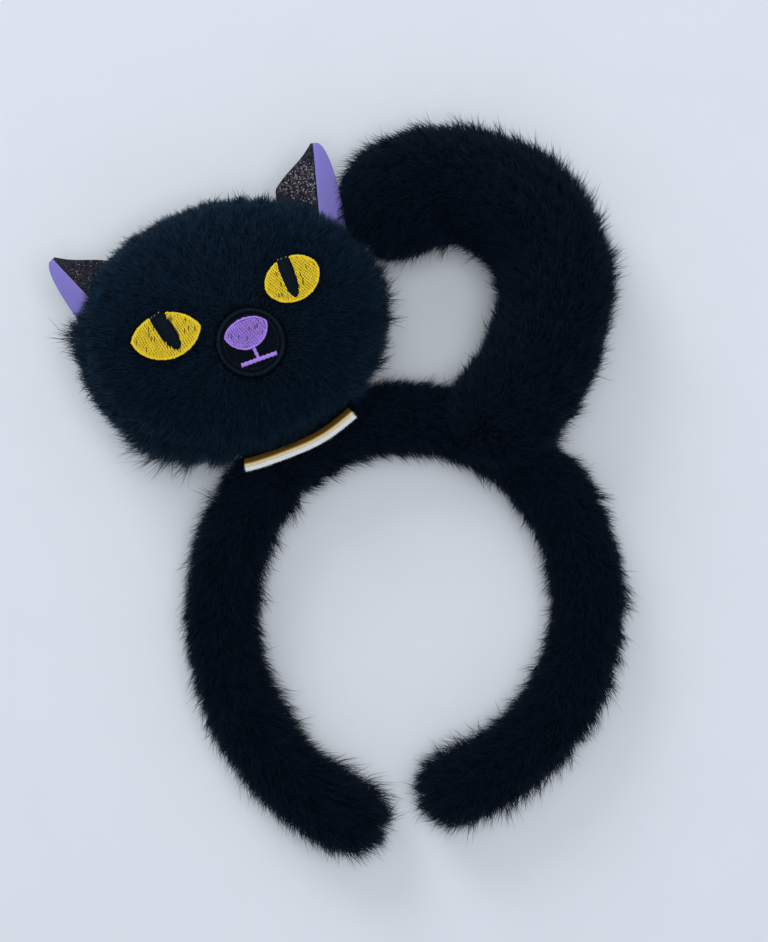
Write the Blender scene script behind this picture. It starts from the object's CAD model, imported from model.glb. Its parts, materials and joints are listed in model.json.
"""Black cat headband: fur, embroidery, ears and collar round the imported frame."""

import json
import math
from functools import partial

import bmesh
import bpy
import numpy as np
from mathutils import Matrix, Vector


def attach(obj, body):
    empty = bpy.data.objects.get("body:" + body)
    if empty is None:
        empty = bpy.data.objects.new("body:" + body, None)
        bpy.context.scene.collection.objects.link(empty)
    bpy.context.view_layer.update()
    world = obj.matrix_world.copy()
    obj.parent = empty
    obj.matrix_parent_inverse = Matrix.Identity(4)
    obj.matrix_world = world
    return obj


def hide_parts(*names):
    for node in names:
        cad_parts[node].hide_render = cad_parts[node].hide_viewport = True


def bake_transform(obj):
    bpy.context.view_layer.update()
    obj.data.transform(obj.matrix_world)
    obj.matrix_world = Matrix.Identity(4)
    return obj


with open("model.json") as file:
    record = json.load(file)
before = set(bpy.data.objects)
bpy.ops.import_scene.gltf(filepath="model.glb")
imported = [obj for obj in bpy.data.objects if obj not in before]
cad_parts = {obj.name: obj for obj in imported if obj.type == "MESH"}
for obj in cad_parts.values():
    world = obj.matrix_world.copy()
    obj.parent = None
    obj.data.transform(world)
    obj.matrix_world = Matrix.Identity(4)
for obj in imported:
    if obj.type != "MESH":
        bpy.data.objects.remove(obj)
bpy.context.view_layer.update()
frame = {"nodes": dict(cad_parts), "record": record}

bl_info = {
    "name": "Cat headband",
    "version": (1, 0, 0),
    "blender": (4, 5, 0),
    "location": "3D View > Sidebar > Headband",
    "description": "Builds the fur, face, ears, collar and studio of a cat headband",
    "category": "Object",
}

MM = 0.001

# ---- Sizes that follow the frame, in metres --------------------------------

JOINTS = {joint["name"]: joint for joint in frame["record"]["behaviour"]["joints"]}


def joint_point(name):
    """Where a joint's axis passes, at rest."""
    return Vector(JOINTS[name]["pos_m"])


RIGHT_FLEX = joint_point("right_arm_flex")
TAIL_SWAY = joint_point("tail_sway")

BAND_R = math.hypot(RIGHT_FLEX.x, RIGHT_FLEX.y)
FLEX_ANGLE = math.atan2(RIGHT_FLEX.x, RIGHT_FLEX.y)
BAND_PILE_R = RIGHT_FLEX.z
LEFT_ARM_R = 95 * MM
LEFT_END = math.radians(154)
RIGHT_ARM_R = 82 * MM
RIGHT_END = math.radians(161)

TAIL_PILE_R = TAIL_SWAY.z
HOOK_R = 43.5 * MM
HOOK_START = math.radians(-5)
HOOK_END = math.radians(122)
HOOK_CENTRE = TAIL_SWAY - Vector((math.cos(HOOK_START), math.sin(HOOK_START), 0)) * HOOK_R
ROOT_R = 80 * MM
ROOT_START = math.radians(-44)
ROOT_CENTRE = TAIL_SWAY - Vector((math.cos(HOOK_START), math.sin(HOOK_START), 0)) * ROOT_R

HEAD_CENTRE = Vector((-72.2, 113.2, 30)) * MM
HEAD_HALF = Vector((64.5, 53, 30)) * MM
HEAD_TURN = math.radians(15)
FACE_CENTRE = Vector((HEAD_CENTRE.x + 2.8 * MM, HEAD_CENTRE.y + 0.9 * MM, 0))
FACE_TURN = math.radians(24)

MUZZLE = Vector((2.8, -10.1)) * MM
MUZZLE_R = 13.9 * MM
EYES = {
    "left": {"at": Vector((-27.4, 6.8)) * MM, "turn": -11, "half": 14.8, "top": 8.8,
             "bottom": 10.1, "round": 0.2, "slit_half": 3.3, "slit_lean": 11,
             "slit_at": (1.0, 1.1)},
    "right": {"at": Vector((28.4, 7.1)) * MM, "turn": 8, "half": 11.8, "top": 8.9,
              "bottom": 9.6, "round": 0.7, "slit_half": 2.8, "slit_lean": -4,
              "slit_at": (-0.9, 0.9)},
}
SLIT_REACH = 8.7 * MM
# Tufts on the head's rim: angle and spread in degrees, and how much longer the fur is
TUFTS = ((-117, 15, 0.7), (-176, 5, 0.8), (-60, 25, 0.25), (20, 20, 0.2), (110, 50, -0.3))
NOSE = {"half": 9.2, "top": 4.7, "bottom": 7.9, "round": 0.35}

EAR_FOOT = Vector((51, 34.2)) * MM
EAR_LEAN = math.radians(70.8)
EAR_CREASE = 24.4 * MM
EAR_TUCK = 9 * MM
EAR_T = 1.1 * MM
EAR_TUCKED_SHARE = 0.25
EAR_INNER_WING = 17.2 * MM
EAR_OUTER_WING = 10.5 * MM
EAR_FOLD_SLOPE = 0.44

COLLAR_CENTRE = Vector((HEAD_CENTRE.x - 13.4 * MM, HEAD_CENTRE.y + 40.6 * MM, 0))
COLLAR_R = 96 * MM
COLLAR_MID = math.radians(-64.5)
COLLAR_SWEEP = math.radians(0.95 * 30.5)
COLLAR_Z = 2 * BAND_PILE_R + 1.2 * MM
COLLAR_LEAN = math.radians(15)
COLLAR_TALL = 8 * MM

# The skins stand inside their fur, and an arm's skin starts inside the crown's
OVERLAP_ANGLE = math.radians(16)
BAND_SKIN_R = BAND_PILE_R - 2.2 * MM
TAIL_SKIN_R = TAIL_PILE_R - 2.0 * MM
HEAD_SKIN_INSET = 2.2 * MM
PARTING = math.radians(-45)
SKIN_GRID = 3.5 * MM

# Embroidery
SATIN_PITCH = 0.36 * MM
BAR_PITCH = 0.34 * MM
FILL_STITCH = 2.2 * MM
CLOTH_INSET = 0.5 * MM
PATCH_DEPTH = 4 * MM

# Studio: name, place, size and share of the key's power of each light, then the camera's aim
LIGHTS = (
    ("key_light", (-1.0, 1.7, 1.15), 1.0, 1.0),
    ("fill_light", (0.1, 0.1, 1.4), 0.9, 0.55),
)
LIGHT_COLOUR = (0.95, 0.98, 1.0)
SKY_COLOUR = (0.86, 0.93, 1.0)
VIEW_CENTRE = Vector((-9.2, 54.2)) * MM
VIEW_LEVEL = 20 * MM


# ---- Settings ---------------------------------------------------------------


class FurSettings(bpy.types.PropertyGroup):
    """How long and how thick the fur grows"""

    band_length: bpy.props.FloatProperty(
        name="Band fur", description="Length of the fur on the band",
        default=8.5 * MM, subtype="DISTANCE", unit="LENGTH")
    head_length: bpy.props.FloatProperty(
        name="Head fur", description="Length of the fur on the head",
        default=6.5 * MM, subtype="DISTANCE", unit="LENGTH")
    tail_length: bpy.props.FloatProperty(
        name="Tail fur", description="Length of the fur on the tail",
        default=8 * MM, subtype="DISTANCE", unit="LENGTH")
    density: bpy.props.FloatProperty(
        name="Density", description="Long hairs on each square millimetre", default=0.85)
    under_share: bpy.props.FloatProperty(
        name="Undercoat", description="Straight undercoat hairs for each long hair", default=3.6)
    hair_width: bpy.props.FloatProperty(
        name="Hair width", description="Width of a hair at its root",
        default=0.3 * MM, subtype="DISTANCE", unit="LENGTH")
    root_colour: bpy.props.FloatVectorProperty(
        name="Root colour", description="Colour at the foot of the fur",
        default=(0.0002, 0.0005, 0.0025), subtype="COLOR", size=3)
    tip_colour: bpy.props.FloatVectorProperty(
        name="Tip colour", description="Colour at the tips of the fur",
        default=(0.002, 0.011, 0.026), subtype="COLOR", size=3)


class FaceSettings(bpy.types.PropertyGroup):
    """Colours and thread of the embroidered face"""

    eye_colour: bpy.props.FloatVectorProperty(
        name="Eye thread", description="Colour of the eyes' thread",
        default=(0.9, 0.62, 0.004), subtype="COLOR", size=3)
    nose_colour: bpy.props.FloatVectorProperty(
        name="Nose thread", description="Colour of the nose's and mouth's thread",
        default=(0.44, 0.26, 0.84), subtype="COLOR", size=3)
    thread_width: bpy.props.FloatProperty(
        name="Thread width", description="Width of one stitch",
        default=0.42 * MM, subtype="DISTANCE", unit="LENGTH")


class TrimSettings(bpy.types.PropertyGroup):
    """Colours of the ears and the collar"""

    lining_colour: bpy.props.FloatVectorProperty(
        name="Ear lining", description="Colour of the ears' lining",
        default=(0.2, 0.165, 0.6), subtype="COLOR", size=3)
    gold_colour: bpy.props.FloatVectorProperty(
        name="Collar face", description="Colour of the collar's face",
        default=(0.45, 0.2, 0.012), subtype="COLOR", size=3)
    flakes: bpy.props.IntProperty(
        name="Glitter", description="Glitter flakes on each ear", default=1500, min=0)


class StudioSettings(bpy.types.PropertyGroup):
    """Floor, light and camera"""

    floor_colour: bpy.props.FloatVectorProperty(
        name="Floor", description="Colour of the floor",
        default=(0.77, 0.8, 0.85), subtype="COLOR", size=3)
    lens: bpy.props.FloatProperty(
        name="Lens", description="Focal length of the camera in millimetres", default=85)
    view_height: bpy.props.FloatProperty(
        name="View height", description="Height of the floor area in view",
        default=395.6 * MM, subtype="DISTANCE", unit="LENGTH")
    key_power: bpy.props.FloatProperty(
        name="Key light", description="Power of the soft key light",
        default=15.5, unit="POWER")
    sky: bpy.props.FloatProperty(
        name="Sky", description="Strength of the light from all round", default=0.46)


# ---- Meshes -----------------------------------------------------------------


def add_object(name, mesh, materials):
    """Puts a finished mesh into the scene, at the origin."""
    piece = bpy.data.objects.new(name, mesh)
    bpy.context.scene.collection.objects.link(piece)
    for material in materials:
        mesh.materials.append(material)
    return piece


def finish_bmesh(bm, name, materials, smooth=True):
    """Turns a bmesh into an object with outward normals."""
    bmesh.ops.remove_doubles(bm, verts=bm.verts, dist=1e-6)
    bmesh.ops.recalc_face_normals(bm, faces=bm.faces)
    for face in bm.faces:
        face.smooth = smooth
    mesh = bpy.data.meshes.new(name)
    bm.to_mesh(mesh)
    bm.free()
    return add_object(name, mesh, materials)


def triangle_mesh(name, points, triangles, swatches):
    """A mesh of many small closed solids, with a map that says where each corner takes its colour."""
    mesh = bpy.data.meshes.new(name)
    mesh.vertices.add(len(points))
    mesh.vertices.foreach_set("co", points.astype(np.float32).ravel())
    mesh.loops.add(triangles.size)
    mesh.loops.foreach_set("vertex_index", triangles.astype(np.int32).ravel())
    mesh.polygons.add(len(triangles))
    mesh.polygons.foreach_set("loop_start", np.arange(0, triangles.size, 3, dtype=np.int32))
    mesh.polygons.foreach_set("use_smooth", np.ones(len(triangles), dtype=bool))
    mesh.update(calc_edges=True)
    layer = mesh.uv_layers.new(name="OFBake")
    layer.uv.foreach_set("vector", swatches[triangles.ravel()].astype(np.float32).ravel())
    mesh.validate()
    return mesh


def repeat_faces(pattern, count, corners):
    """One solid's faces, repeated for many solids of the same number of corners."""
    shifts = np.arange(count)[:, None, None] * corners
    return (np.array(pattern)[None] + shifts).reshape(-1, 3)


def unit(vectors):
    """Each row at length one."""
    return vectors / np.maximum(np.linalg.norm(vectors, axis=1, keepdims=True), 1e-12)


def ripple(points, wavelength, seed):
    """Smooth random vectors that change over about a wavelength, for clumps and waves."""
    rng = np.random.default_rng(seed)
    total = np.zeros((len(points), 3))
    for octave in range(6):
        way = rng.normal(size=(3, 3))
        way = unit(way) * (2 * math.pi / wavelength) * rng.uniform(0.6, 1.5)
        total += np.sin(points @ way.T + rng.uniform(0, 2 * math.pi, 3))
    return total / 3


# ---- Materials --------------------------------------------------------------


def grain_group():
    """A node group that gives a fibre grain on the object's own coordinates."""
    if "fibre_grain" in bpy.data.node_groups:
        return bpy.data.node_groups["fibre_grain"]
    group = bpy.data.node_groups.new("fibre_grain", "ShaderNodeTree")
    scale = group.interface.new_socket("Scale", in_out="INPUT", socket_type="NodeSocketFloat")
    scale.default_value = 900
    stretch = group.interface.new_socket("Stretch", in_out="INPUT", socket_type="NodeSocketVector")
    stretch.default_value = (1, 1, 1)
    group.interface.new_socket("Grain", in_out="OUTPUT", socket_type="NodeSocketFloat")
    nodes, links = group.nodes, group.links
    given = nodes.new("NodeGroupInput")
    out = nodes.new("NodeGroupOutput")
    place = nodes.new("ShaderNodeTexCoord")
    mapping = nodes.new("ShaderNodeMapping")
    noise = nodes.new("ShaderNodeTexNoise")
    noise.inputs["Detail"].default_value = 6
    noise.inputs["Roughness"].default_value = 0.65
    ramp = nodes.new("ShaderNodeMapRange")
    ramp.inputs["From Min"].default_value = 0.3
    ramp.inputs["From Max"].default_value = 0.7
    links.new(place.outputs["Object"], mapping.inputs["Vector"])
    links.new(given.outputs["Stretch"], mapping.inputs["Scale"])
    links.new(mapping.outputs["Vector"], noise.inputs["Vector"])
    links.new(given.outputs["Scale"], noise.inputs["Scale"])
    links.new(noise.outputs["Fac"], ramp.inputs["Value"])
    links.new(ramp.outputs["Result"], out.inputs["Grain"])
    return group


def new_material(name):
    """An empty material with its Principled node."""
    material = bpy.data.materials.new(name)
    material.use_nodes = True
    return material, material.node_tree.nodes, material.node_tree.links


def mixed_colour(nodes, links, factor, dark, light):
    """A colour between two, by a factor socket."""
    mix = nodes.new("ShaderNodeMix")
    mix.data_type = "RGBA"
    mix.inputs["A"].default_value = (*dark, 1)
    mix.inputs["B"].default_value = (*light, 1)
    links.new(factor, mix.inputs["Factor"])
    return mix.outputs["Result"]


def ranged(nodes, links, value, low, high=1.0, top=1.0):
    """A value from 0 to top, spread from low to high."""
    node = nodes.new("ShaderNodeMapRange")
    node.inputs["From Max"].default_value = top
    node.inputs["To Min"].default_value = low
    node.inputs["To Max"].default_value = high
    links.new(value, node.inputs["Value"])
    return node.outputs["Result"]


def grained(name, dark, light, scale, roughness, depth, sheen=0.0, metallic=0.0,
            stretch=(1, 1, 1), sheen_tint=(1, 1, 1), gloss=0.5):
    """A cloth, foam, felt or plastic with a fibre grain in its colour, gloss and surface."""
    if name in bpy.data.materials:
        return bpy.data.materials[name]
    material, nodes, links = new_material(name)
    shader = nodes["Principled BSDF"]
    grain = nodes.new("ShaderNodeGroup")
    grain.node_tree = grain_group()
    grain.inputs["Scale"].default_value = scale
    grain.inputs["Stretch"].default_value = stretch
    links.new(mixed_colour(nodes, links, grain.outputs["Grain"], dark, light),
              shader.inputs["Base Color"])
    rough = ranged(nodes, links, grain.outputs["Grain"], min(1, roughness + 0.08), roughness - 0.08)
    links.new(rough, shader.inputs["Roughness"])
    shader.inputs["Specular IOR Level"].default_value = gloss
    bump = nodes.new("ShaderNodeBump")
    bump.inputs["Strength"].default_value = 0.6
    bump.inputs["Distance"].default_value = depth
    links.new(grain.outputs["Grain"], bump.inputs["Height"])
    links.new(bump.outputs["Normal"], shader.inputs["Normal"])
    shader.inputs["Metallic"].default_value = metallic
    shader.inputs["Sheen Weight"].default_value = sheen
    shader.inputs["Sheen Tint"].default_value = (*sheen_tint, 1)
    return material


SWATCHES = 16


def swatch_coordinates(nodes, links):
    """Splits the swatch map into a number that is random for each column, and the height in it."""
    place = nodes.new("ShaderNodeUVMap")
    place.uv_map = "OFBake"
    split = nodes.new("ShaderNodeSeparateXYZ")
    links.new(place.outputs["UV"], split.inputs["Vector"])
    column = nodes.new("ShaderNodeMath")
    column.operation = "MULTIPLY"
    column.inputs[1].default_value = SWATCHES
    links.new(split.outputs["X"], column.inputs[0])
    whole = nodes.new("ShaderNodeMath")
    whole.operation = "FLOOR"
    links.new(column.outputs[0], whole.inputs[0])
    chance = nodes.new("ShaderNodeTexWhiteNoise")
    chance.noise_dimensions = "1D"
    links.new(whole.outputs[0], chance.inputs["W"])
    return chance.outputs["Value"], split.outputs["Y"]


def fur_material(name, root, tip, sheen, roughness):
    """Fur: dark at the root and bluer at the tip, with each lock a little different."""
    if name in bpy.data.materials:
        return bpy.data.materials[name]
    material, nodes, links = new_material(name)
    shader = nodes["Principled BSDF"]
    chance, height = swatch_coordinates(nodes, links)
    ramp = nodes.new("ShaderNodeValToRGB")
    ramp.color_ramp.elements[0].color = (*root, 1)
    ramp.color_ramp.elements[0].position = 0.1
    ramp.color_ramp.elements[1].color = (*tip, 1)
    ramp.color_ramp.elements[1].position = 0.95
    middle = ramp.color_ramp.elements.new(0.55)
    middle.color = (*[r * 0.55 + t * 0.45 for r, t in zip(root, tip)], 1)
    links.new(height, ramp.inputs["Fac"])
    shade = nodes.new("ShaderNodeVectorMath")
    shade.operation = "SCALE"
    links.new(ramp.outputs["Color"], shade.inputs[0])
    links.new(ranged(nodes, links, chance, 0.55, 1.6), shade.inputs["Scale"])
    links.new(shade.outputs["Vector"], shader.inputs["Base Color"])
    rough = ranged(nodes, links, height, roughness + 0.2, roughness)
    links.new(rough, shader.inputs["Roughness"])
    shader.inputs["Sheen Weight"].default_value = sheen
    shader.inputs["Sheen Roughness"].default_value = 0.4
    shader.inputs["Sheen Tint"].default_value = (0.25, 0.6, 0.95, 1)
    shader.inputs["Specular IOR Level"].default_value = 0.07
    return material


def thread_material(name, dark, light, roughness, sheen=0.1, gloss=0.4):
    """Thread: each stitch a little different, and darker where it dips into the cloth."""
    if name in bpy.data.materials:
        return bpy.data.materials[name]
    material, nodes, links = new_material(name)
    shader = nodes["Principled BSDF"]
    chance, height = swatch_coordinates(nodes, links)
    lift = nodes.new("ShaderNodeMath")
    lift.operation = "PINGPONG"
    lift.inputs[1].default_value = 0.5
    links.new(height, lift.inputs[0])
    both = nodes.new("ShaderNodeMath")
    both.operation = "MULTIPLY"
    links.new(ranged(nodes, links, lift.outputs[0], 0.25, top=0.3), both.inputs[0])
    links.new(ranged(nodes, links, chance, 0.35, top=0.4), both.inputs[1])
    links.new(mixed_colour(nodes, links, both.outputs[0], dark, light),
              shader.inputs["Base Color"])
    rough = ranged(nodes, links, chance, roughness + 0.15, roughness)
    links.new(rough, shader.inputs["Roughness"])
    shader.inputs["Specular IOR Level"].default_value = gloss
    shader.inputs["Sheen Weight"].default_value = sheen
    return material


def glitter_material():
    """Flakes from dark grey to bright silver and pink, each its own."""
    if "glitter_flakes" in bpy.data.materials:
        return bpy.data.materials["glitter_flakes"]
    material, nodes, links = new_material("glitter_flakes")
    shader = nodes["Principled BSDF"]
    chance, _ = swatch_coordinates(nodes, links)
    ramp = nodes.new("ShaderNodeValToRGB")
    ramp.color_ramp.elements[0].color = (0.005, 0.009, 0.016, 1)
    ramp.color_ramp.elements[1].color = (0.75, 0.72, 0.8, 1)
    for place, colour in ((0.45, (0.016, 0.026, 0.042, 1)), (0.65, (0.14, 0.11, 0.15, 1)),
                          (0.85, (0.48, 0.36, 0.44, 1))):
        ramp.color_ramp.elements.new(place).color = colour
    links.new(chance, ramp.inputs["Fac"])
    links.new(ramp.outputs["Color"], shader.inputs["Base Color"])
    links.new(ranged(nodes, links, chance, 0.45, 0.2), shader.inputs["Roughness"])
    shader.inputs["Metallic"].default_value = 0.15
    return material


def fur_foot():
    """The woven foot of the pile, almost black."""
    return grained("fur_foot", (0.0003, 0.0005, 0.0015), (0.0015, 0.003, 0.006), 700, 0.85,
                   0.4 * MM, gloss=0.05)


def fur_hair():
    """The fur's own material, from the fur settings."""
    fur = bpy.context.scene.headband_fur
    return fur_material("black_fur", fur.root_colour, fur.tip_colour, 0.05, 0.4)


def head_hair():
    """The head's fur, whose tips shine more."""
    fur = bpy.context.scene.headband_fur
    tips = [c * 1.7 for c in fur.tip_colour]
    return fur_material("head_fur", fur.root_colour, tips, 0.09, 0.38)


# ---- Tubes: the band and the tail -------------------------------------------


class Arc:
    """A stretch of a tube's centreline, with angles clockwise from +Y, or against if side is -1."""

    def __init__(self, centre, radius, start, end, z, side=1):
        self.centre, self.radius, self.z, self.side = centre, radius, z, side
        self.start, self.end = start, end

    def length(self):
        return self.radius * (self.end - self.start)

    def place(self, angle):
        """A point and the way forward, at an angle."""
        way = Vector((self.side * math.sin(angle), math.cos(angle), 0))
        along = Vector((self.side * math.cos(angle), -math.sin(angle), 0))
        point = Vector((self.centre.x, self.centre.y, 0)) + way * self.radius
        point.z = self.z
        return point, along

    def station(self, points):
        """Each point's angle on the arc, and the way forward there."""
        x = (points[:, 0] - self.centre.x) * self.side
        angle = np.arctan2(x, points[:, 1] - self.centre.y)
        level = np.zeros(len(points))
        return angle, np.stack([self.side * np.cos(angle), -np.sin(angle), level], axis=1)


class TailArc(Arc):
    """An arc whose angles run anticlockwise from +X."""

    def place(self, angle):
        """A point and the way forward, at an angle."""
        way = Vector((math.cos(angle), math.sin(angle), 0))
        along = Vector((-math.sin(angle), math.cos(angle), 0))
        point = Vector((self.centre.x, self.centre.y, 0)) + way * self.radius
        point.z = self.z
        return point, along

    def station(self, points):
        """Each point's angle on the arc, and the way forward there."""
        angle = np.arctan2(points[:, 1] - self.centre.y, points[:, 0] - self.centre.x)
        angle = np.where(angle < -2.4, angle + 2 * math.pi, angle)
        return angle, np.stack([-np.sin(angle), np.cos(angle), np.zeros(len(points))], axis=1)


def arm_arc(side, arm_r, end, z):
    """An arm's arc, from a little before its flex point."""
    way = Vector((side * math.sin(FLEX_ANGLE), math.cos(FLEX_ANGLE), 0))
    return Arc(way * (BAND_R - arm_r), arm_r, FLEX_ANGLE - OVERLAP_ANGLE, end, z, side)


def tube_skin(name, arc, radius, wobble, seed, round_start, round_end):
    """A padded tube's skin: a ring swept along an arc, closed and rounded at its ends."""
    steps = max(8, int(arc.length() / SKIN_GRID))
    rng = np.random.default_rng(seed)
    phases = rng.uniform(0, 2 * math.pi, 6)
    bm = bmesh.new()
    stations = [(arc.start + (arc.end - arc.start) * i / steps, 0.0, 1.0) for i in range(steps + 1)]
    cap = [(math.sin(t), math.cos(t)) for t in np.linspace(0, math.pi / 2, 6)[1:]]
    before = [(arc.start, -reach, width) for reach, width in reversed(cap)]
    after = [(arc.end, reach, width) for reach, width in cap]
    if round_start:
        stations = before + stations
    if round_end:
        stations = stations + after
    last = None
    for number, (angle, reach, width) in enumerate(stations):
        point, along = arc.place(angle)
        wave = math.sin(number * 0.55 + phases[0]) + math.sin(number * 0.31 + phases[1])
        swell = 1 + wobble * wave / 2
        size = max(radius * swell * width, 0.3 * MM)
        centre = point + along * (reach * radius)
        up = Vector((0, 0, 1))
        turn = Matrix((along.cross(up), up, along)).transposed().to_4x4()
        ring = bmesh.ops.create_circle(bm, cap_ends=False, segments=24, radius=size,
                                       matrix=Matrix.Translation(centre) @ turn)["verts"]
        edges = list({edge for vert in ring for edge in vert.link_edges})
        if last:
            bmesh.ops.bridge_loops(bm, edges=last + edges)
        else:
            bmesh.ops.contextual_create(bm, geom=edges)
        last = edges
    bmesh.ops.contextual_create(bm, geom=last)
    return finish_bmesh(bm, name, [fur_foot()])


def inflate(piece, voxel, pressure, cap):
    """Puffs a stuffed skin out with cloth pressure, as far as a cap, and keeps the result."""
    scene = bpy.context.scene
    remesh = piece.modifiers.new("even_faces", "REMESH")
    remesh.mode = "VOXEL"
    remesh.voxel_size = voxel
    bpy.context.view_layer.update()
    graph = bpy.context.evaluated_depsgraph_get()
    even = bpy.data.meshes.new_from_object(piece.evaluated_get(graph))
    piece.modifiers.clear()
    materials = list(piece.data.materials)
    piece.data = even
    if not even.materials:
        for material in materials:
            even.materials.append(material)
    before = vertex_places(even)
    cloth = piece.modifiers.new("stuffing", "CLOTH")
    cloth.settings.use_pressure = True
    cloth.settings.uniform_pressure_force = pressure
    cloth.settings.quality = 5
    cloth.settings.mass = 0.2
    cloth.settings.tension_stiffness = 20
    cloth.settings.compression_stiffness = 20
    cloth.settings.bending_stiffness = 0.8
    cloth.settings.effector_weights.gravity = 0
    cloth.point_cache.frame_start = 1
    cloth.point_cache.frame_end = 20
    for number in range(1, 21):
        scene.frame_set(number)
    graph = bpy.context.evaluated_depsgraph_get()
    puffed = bpy.data.meshes.new_from_object(piece.evaluated_get(graph))
    after = vertex_places(puffed)
    piece.modifiers.clear()
    scene.frame_set(1)
    moved = after - before
    reach = np.linalg.norm(moved, axis=1, keepdims=True)
    moved *= np.minimum(1, cap / np.maximum(reach, 1e-9))
    even.vertices.foreach_set("co", (before + moved).astype(np.float32).ravel())
    even.polygons.foreach_set("use_smooth", np.ones(len(even.polygons), dtype=bool))
    even.update()
    bpy.data.meshes.remove(puffed)


def vertex_places(mesh):
    """The mesh's vertices as rows."""
    found = np.empty(len(mesh.vertices) * 3, dtype=np.float32)
    mesh.vertices.foreach_get("co", found)
    return found.reshape(-1, 3).astype(float)


# ---- Fur --------------------------------------------------------------------

HAIR_FACES = [
    (0, 2, 1),
    (0, 1, 4), (0, 4, 3), (1, 2, 5), (1, 5, 4), (2, 0, 3), (2, 3, 5),
    (3, 4, 6), (4, 5, 6), (5, 3, 6),
]
SPIKE_FACES = [(0, 2, 1), (0, 1, 3), (1, 2, 3), (2, 0, 3)]


def surface_points(piece, count, rng):
    """Random places all over a skin, with their outward normals."""
    mesh = piece.data
    mesh.calc_loop_triangles()
    corners = np.empty(len(mesh.loop_triangles) * 3, dtype=np.int32)
    mesh.loop_triangles.foreach_get("vertices", corners)
    corners = corners.reshape(-1, 3)
    places = vertex_places(mesh)
    outward = np.empty(len(mesh.vertices) * 3, dtype=np.float32)
    mesh.vertex_normals.foreach_get("vector", outward)
    outward = outward.reshape(-1, 3).astype(float)
    a, b, c = (places[corners[:, k]] for k in range(3))
    areas = np.linalg.norm(np.cross(b - a, c - a), axis=1)
    picked = rng.choice(len(corners), size=count, p=areas / areas.sum())
    u, v = rng.random(count), rng.random(count)
    over = u + v > 1
    u[over], v[over] = 1 - u[over], 1 - v[over]
    w = np.stack([1 - u - v, u, v], axis=1)[:, :, None]
    points = (places[corners[picked]] * w).sum(1)
    normals = unit((outward[corners[picked]] * w).sum(1))
    return points, normals


def skin_area(piece):
    """A skin's area in square millimetres."""
    return sum(face.area for face in piece.data.polygons) / MM**2


def small_solids(name, rows, pattern, column, across, up, material, body):
    """A piece of many like solids, one to each row of corners, coloured from swatch columns."""
    across, up = np.array(across)[None], np.array(up)[None]
    swatches = np.stack(np.broadcast_arrays((column[:, None] + across) / SWATCHES, up), axis=2)
    faces = repeat_faces(pattern, *rows.shape[:2])
    mesh = triangle_mesh(name, rows.reshape(-1, 3), faces, swatches.reshape(-1, 2))
    piece = add_object(name, mesh, [material])
    if body:
        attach(piece, body)
    return piece


def hair_ring(way, width, rng):
    """Three offsets round each hair, square to its way."""
    side = unit(np.cross(way, rng.normal(size=way.shape)))
    other = np.cross(way, side)
    half = (width * (0.7 + 0.6 * rng.random(len(way))))[:, None] / 2
    turns = (0, 2 * math.pi / 3, 4 * math.pi / 3)
    return [(side * math.cos(t) + other * math.sin(t)) * half for t in turns]


def above_floor(rows, rng):
    """Lifts hairs that would go through the floor."""
    lowest = 0.15 * MM + 0.3 * MM * rng.random((len(rows), 1))
    rows[:, :, 2] = np.maximum(rows[:, :, 2], lowest)
    return rows


def grow_hair(name, points, normals, nap, lengths, lift, seed, width, material, slot, body):
    """Hair on the given roots: each lock leaves the skin, bends with the nap and tapers to a point."""
    rng = np.random.default_rng(seed)
    count = len(points)
    broad = ripple(points, 11 * MM, seed + 2)
    clump = ripple(points, 4.5 * MM, seed + 1) * 0.38 + broad * 0.42
    stray = rng.normal(size=(count, 3)) * 0.16
    nap = unit(nap - normals * (nap * normals).sum(1, keepdims=True))
    first = unit(normals * (lift + 0.45) + nap * 0.6 + clump * 0.7 + stray)
    second = unit(normals * lift + nap * 0.95 + clump * 1.1 + stray * 1.4)
    lengths = lengths * (1 + 0.22 * rng.normal(size=count).clip(-2, 2)) * (1 + 0.26 * broad[:, 0])
    lengths = lengths[:, None]
    middle = points + first * lengths * 0.5
    tip = middle + second * lengths * 0.5
    ring = hair_ring(first, width, rng)
    foot = [points - normals * 0.4 * MM + offset for offset in ring]
    waist = [middle + offset * 0.8 for offset in ring]
    rows = above_floor(np.stack([*foot, *waist, tip], axis=1), rng)
    return small_solids(name, rows, HAIR_FACES, rng.integers(0, SWATCHES, count),
                        (0.2, 0.5, 0.8, 0.2, 0.5, 0.8, 0.5),
                        (0.02, 0.02, 0.02, 0.5, 0.5, 0.5, 0.98), material, body)


def grow_undercoat(name, points, normals, nap, lengths, lift, seed, width, material, slot, body):
    """Straight short hairs that fill the coat: each a three-sided spike."""
    rng = np.random.default_rng(seed)
    count = len(points)
    clump = ripple(points, 5 * MM, seed + 1) * 0.3 + ripple(points, 12 * MM, seed + 2) * 0.28
    nap = unit(nap - normals * (nap * normals).sum(1, keepdims=True))
    way = unit(normals * (lift + 0.25) + nap * 0.8 + clump + rng.normal(size=(count, 3)) * 0.2)
    lengths = lengths * rng.uniform(0.55, 1.02, count) * (1 + 0.1 * clump[:, 0])
    tip = points + way * lengths[:, None]
    foot = [points - normals * 0.3 * MM + offset for offset in hair_ring(way, width, rng)]
    rows = above_floor(np.stack([*foot, tip], axis=1), rng)
    return small_solids(name, rows, SPIKE_FACES, rng.integers(0, SWATCHES, count),
                        (0.2, 0.5, 0.8, 0.5), (0.02, 0.02, 0.02, 0.98), material, body)


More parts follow.
